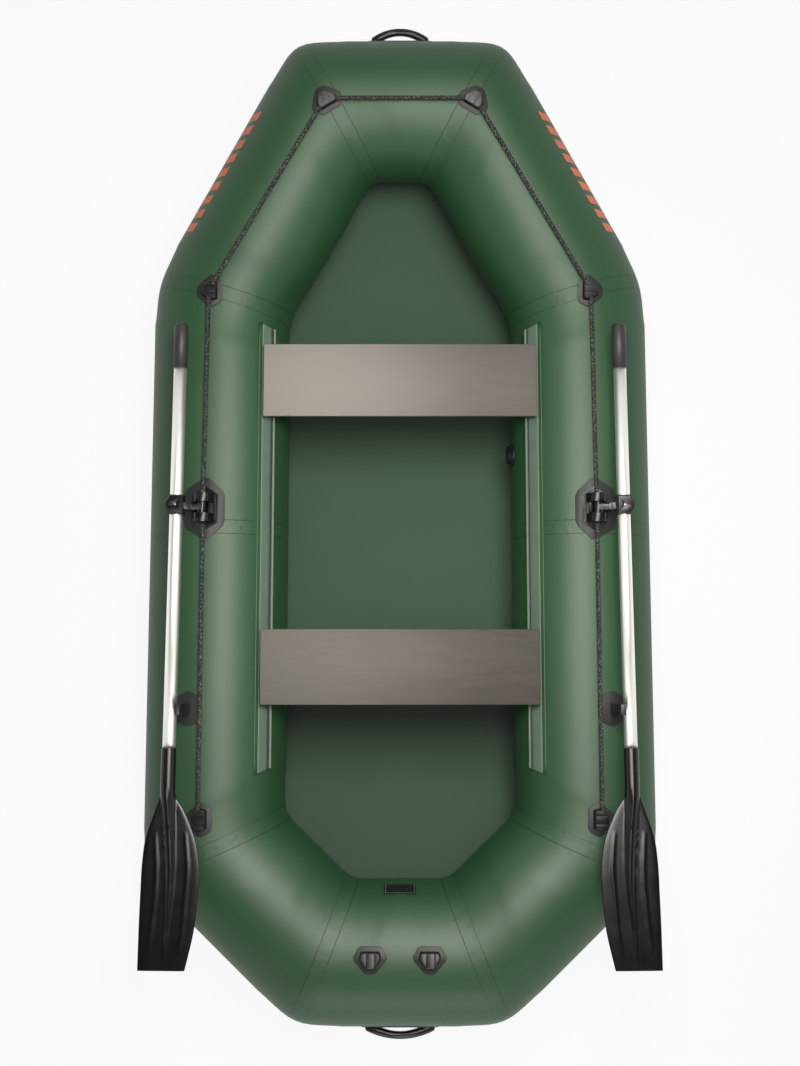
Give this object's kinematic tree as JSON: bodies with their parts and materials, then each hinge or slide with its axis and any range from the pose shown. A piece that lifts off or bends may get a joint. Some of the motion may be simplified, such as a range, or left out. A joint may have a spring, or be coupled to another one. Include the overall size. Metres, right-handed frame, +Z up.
{
  "type": "inflatable rowing boat",
  "caption": "Small inflatable rowing boat with a raised bow, sliding plank seats, hinged oarlocks, stowed oars and a grab line.",
  "frame": {"origin": "on the ground under the middle of the boat's length and beam", "axes": "+Y to the bow, +X to starboard, +Z up"},
  "size_m": [1.34, 2.672, 0.4842],
  "materials": {
    "hull_fabric": "PVC-coated fabric, satin, dark green",
    "bottom_fabric": "PVC-coated fabric, satin, dark green",
    "rail_vinyl": "extruded vinyl, green-grey",
    "film_faced_plywood": "plywood with a brown-grey film face",
    "runner_vinyl": "extruded vinyl, dark",
    "patch_rubber": "moulded, dark grey, matt",
    "fitting_rubber": "moulded, black, satin",
    "oarlock_nylon": "moulded nylon, black, satin",
    "shaft_aluminium": "drawn tube, silver anodised",
    "grip_plastic": "moulded, black",
    "blade_plastic": "moulded, black, satin",
    "holder_rubber": "moulded, black",
    "rope": "braided, black with pale flecks",
    "handle_plastic": "moulded, charcoal",
    "valve_plastic": "moulded, black"
  },
  "bodies": {
    "hull": {"bottom_sheet": "bottom_fabric", "bow_chamber_valve": "valve_plastic", "bow_handle": "handle_plastic", "bow_quarter_port": "hull_fabric", "bow_quarter_starboard": "hull_fabric", "bow_sheet": "bottom_fabric", "bow_tube": "hull_fabric", "handle_patches": "patch_rubber", "holder_clip_port": "holder_rubber", "holder_clip_starboard": "holder_rubber", "holder_patch_port": "patch_rubber", "holder_patch_starboard": "patch_rubber", "holder_post_port": "holder_rubber", "holder_post_starboard": "holder_rubber", "lifeline_bow": "rope", "lifeline_port": "rope", "lifeline_starboard": "rope", "oarlock_body_port": "oarlock_nylon", "oarlock_body_starboard": "oarlock_nylon", "oarlock_patch_port": "patch_rubber", "oarlock_patch_starboard": "patch_rubber", "rope_fitting_caps": "fitting_rubber", "rope_fitting_patches": "patch_rubber", "seat_rail_port": "rail_vinyl", "seat_rail_starboard": "rail_vinyl", "side_port_aft": "hull_fabric", "side_port_fore": "hull_fabric", "side_starboard_aft": "hull_fabric", "side_starboard_fore": "hull_fabric", "stern_chamber_valve": "valve_plastic", "stern_handle": "handle_plastic", "stern_quarter_port": "hull_fabric", "stern_quarter_starboard": "hull_fabric", "stern_tube": "hull_fabric"},
    "bow_seat": {"bow_seat": "film_faced_plywood", "bow_seat_runners": "runner_vinyl"},
    "stern_seat": {"stern_seat": "film_faced_plywood", "stern_seat_runners": "runner_vinyl"},
    "oarlock_arm_port": {"oarlock_arm_port": "oarlock_nylon"},
    "oar_port": {"oar_blade_port": "blade_plastic", "oar_clamp_port": "oarlock_nylon", "oar_grip_port": "grip_plastic", "oar_shaft_port": "shaft_aluminium"},
    "oarlock_arm_starboard": {"oarlock_arm_starboard": "oarlock_nylon"},
    "oar_starboard": {"oar_blade_starboard": "blade_plastic", "oar_clamp_starboard": "oarlock_nylon", "oar_grip_starboard": "grip_plastic", "oar_shaft_starboard": "shaft_aluminium"}
  },
  "joints": [
    {"name": "oar_dip_port", "type": "hinge", "parent": "hull", "child": "oarlock_arm_port", "pos_m": [-0.5036, 0.021, 0.39125], "axis": [0, -1, 0], "range_deg": [0, 25]},
    {"name": "oar_sweep_port", "type": "hinge", "parent": "oarlock_arm_port", "child": "oar_port", "pos_m": [-0.5356, 0.021, 0.39725], "axis": [0, 0, -1], "range_deg": [0, 120]},
    {"name": "oar_dip_starboard", "type": "hinge", "parent": "hull", "child": "oarlock_arm_starboard", "pos_m": [0.5036, 0.021, 0.39125], "axis": [0, 1, 0], "range_deg": [0, 25]},
    {"name": "oar_sweep_starboard", "type": "hinge", "parent": "oarlock_arm_starboard", "child": "oar_starboard", "pos_m": [0.5356, 0.021, 0.39725], "axis": [0, 0, 1], "range_deg": [0, 120]},
    {"name": "bow_seat_slide", "type": "slide", "parent": "hull", "child": "bow_seat", "axis": [0, 1, 0], "range_m": [-0.2, 0.055]},
    {"name": "stern_seat_slide", "type": "slide", "parent": "hull", "child": "stern_seat", "axis": [0, 1, 0], "range_m": [-0.165, 0.2]}
  ]
}
